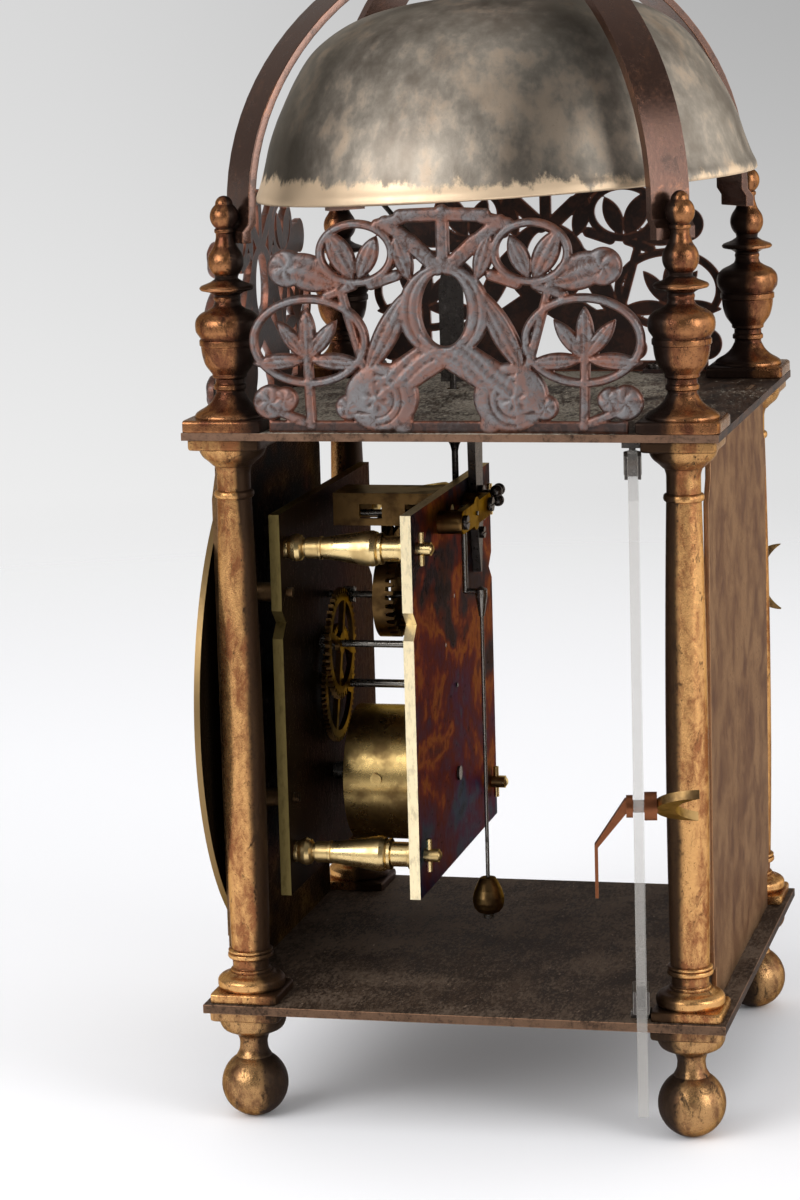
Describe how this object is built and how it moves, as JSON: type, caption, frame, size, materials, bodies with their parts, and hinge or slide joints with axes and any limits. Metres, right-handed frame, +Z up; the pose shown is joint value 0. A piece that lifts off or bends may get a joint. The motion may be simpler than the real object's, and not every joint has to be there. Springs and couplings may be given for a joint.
{
  "type": "lantern clock",
  "caption": "Brass lantern clock: ring dial, columns, glazed side doors, verge movement with short pendulum, pierced frets, and a bell under crossed straps",
  "frame": {"origin": "on the floor under the centre of the four columns", "axes": "+X to the right as seen from the dial, -Y the way the dial faces, +Z up"},
  "size_m": [0.3067, 0.1525, 0.3747],
  "materials": {
    "dark_plate": "dark brown-grey tarnished brass plate, dusty",
    "aged_brass": "aged golden-brown brass, dull in the hollows",
    "red_brass": "glossy red-brown patina over turned brass",
    "fret_brass": "copper-brown brass with a grey-blue bloom",
    "steel": "darkened steel, polished where it turns",
    "bell_metal": "pewter-grey bell metal with tan patches and a paler rim",
    "strap_iron": "dark brown straps with worn copper-coloured edges",
    "black_wax": "black engraver's wax in the numerals",
    "polished_brass": "polished yellow brass",
    "glass": "clear window glass with a faint green edge",
    "red_copper": "red-copper coloured latch strip",
    "movement_plate": "brass plate with an iridescent tarnish in upright streaks"
  },
  "bodies": {
    "case": {"base_plate": "dark_plate", "top_plate": "dark_plate", "column_front_right": "aged_brass", "column_back_right": "aged_brass", "column_back_left": "aged_brass", "column_front_left": "aged_brass", "feet": "aged_brass", "finial_front_right": "red_brass", "finial_back_right": "red_brass", "finial_back_left": "red_brass", "finial_front_left": "red_brass", "fret_front": "fret_brass", "fret_right": "fret_brass", "fret_left": "fret_brass", "screws": "steel", "bell": "bell_metal", "bell_strap_lower": "strap_iron", "bell_strap_upper": "strap_iron", "bell_stud": "steel", "bell_nut": "steel", "top_finial": "red_brass", "dial_plate": "dark_plate", "chapter_ring": "aged_brass", "numerals": "black_wax", "case_back": "dark_plate", "hinge_lugs": "steel", "movement_front": "movement_plate", "movement_back": "movement_plate", "movement_pillars": "polished_brass", "potences": "polished_brass", "back_cock": "polished_brass", "hammer_bracket": "steel"},
    "centre": {"centre_arbor": "steel", "centre_wheel": "polished_brass", "cannon_pinion": "steel", "minute_hand": "steel"},
    "hour": {"hour_wheel": "polished_brass", "hour_hand": "steel"},
    "minute_wheel": {"minute_wheel": "polished_brass"},
    "barrel": {"barrel": "polished_brass"},
    "winding": {"barrel_arbor": "steel", "ratchet_wheel": "polished_brass"},
    "click": {"click": "steel"},
    "third": {"third_arbor": "steel", "third_wheel": "polished_brass"},
    "contrate": {"contrate_arbor": "steel", "contrate_wheel": "polished_brass"},
    "crown": {"crown_wheel": "polished_brass"},
    "pendulum": {"verge": "steel", "pendulum_rod": "steel", "bob": "polished_brass"},
    "hammer": {"hammer": "steel"},
    "door_right": {"door_glass_right": "glass", "door_clips_right": "steel"},
    "door_left": {"door_glass_left": "glass", "door_clips_left": "steel"},
    "latch_right": {"latch_right": "red_copper", "crescent_right": "polished_brass"},
    "latch_left": {"latch_left": "red_copper", "crescent_left": "polished_brass"}
  },
  "joints": [
    {"name": "centre_turn", "type": "hinge", "parent": "case", "child": "centre", "pos_m": [0, 0, 0.10781], "axis": [0, 1, 0], "continuous": true},
    {"name": "hour_turn", "type": "hinge", "parent": "case", "child": "hour", "pos_m": [0, 0, 0.10781], "axis": [0, 1, 0], "continuous": true},
    {"name": "minute_wheel_turn", "type": "hinge", "parent": "case", "child": "minute_wheel", "pos_m": [-0.01, 0, 0.10781], "axis": [0, 1, 0], "continuous": true},
    {"name": "barrel_turn", "type": "hinge", "parent": "case", "child": "barrel", "pos_m": [0, 0, 0.08251], "axis": [0, 1, 0], "continuous": true},
    {"name": "third_turn", "type": "hinge", "parent": "case", "child": "third", "pos_m": [0.012, 0, 0.12151], "axis": [0, 1, 0], "continuous": true},
    {"name": "contrate_turn", "type": "hinge", "parent": "case", "child": "contrate", "pos_m": [0, 0, 0.13327], "axis": [0, 1, 0], "continuous": true},
    {"name": "crown_turn", "type": "hinge", "parent": "case", "child": "crown", "pos_m": [0, -0.028, 0.145], "axis": [0, 0, 1], "continuous": true},
    {"name": "winding_turn", "type": "hinge", "parent": "case", "child": "winding", "pos_m": [0, 0, 0.08251], "axis": [0, 1, 0], "continuous": true},
    {"name": "click_lift", "type": "hinge", "parent": "case", "child": "click", "pos_m": [0.00252, 0, 0.09679], "axis": [0, 1, 0], "range_deg": [-15, 0]},
    {"name": "pendulum_swing", "type": "hinge", "parent": "case", "child": "pendulum", "pos_m": [0, -0.007, 0.15661], "axis": [0, 1, 0], "range_deg": [-12, 12]},
    {"name": "hammer_swing", "type": "hinge", "parent": "case", "child": "hammer", "pos_m": [-0.026, -0.0194, 0.19], "axis": [0, 0, 1], "range_deg": [0, 25]},
    {"name": "door_right_hinge", "type": "hinge", "parent": "case", "child": "door_right", "pos_m": [0.064, 0.0475, 0.11], "axis": [0, 0, 1], "range_deg": [-100, 0]},
    {"name": "door_left_hinge", "type": "hinge", "parent": "case", "child": "door_left", "pos_m": [-0.064, 0.0475, 0.11], "axis": [0, 0, 1], "range_deg": [-13, 87]},
    {"name": "latch_right_turn", "type": "hinge", "parent": "door_right", "child": "latch_right", "pos_m": [0.14475, 0.06174, 0.10975], "axis": [-0.1736, 0.9848, 0], "range_deg": [-100, 100]},
    {"name": "latch_left_turn", "type": "hinge", "parent": "door_left", "child": "latch_left", "pos_m": [-0.14589, 0.04321, 0.11405], "axis": [-0.0523, 0.9986, 0], "range_deg": [-100, 100]}
  ],
  "couplings": [
    {"joint": "hour_turn", "follows": "centre_turn", "ratio": 0.083333},
    {"joint": "minute_wheel_turn", "follows": "centre_turn", "ratio": -0.33333},
    {"joint": "barrel_turn", "follows": "centre_turn", "ratio": -0.11111},
    {"joint": "third_turn", "follows": "centre_turn", "ratio": -7.5},
    {"joint": "contrate_turn", "follows": "centre_turn", "ratio": 52.5},
    {"joint": "crown_turn", "follows": "centre_turn", "ratio": 262.5}
  ]
}
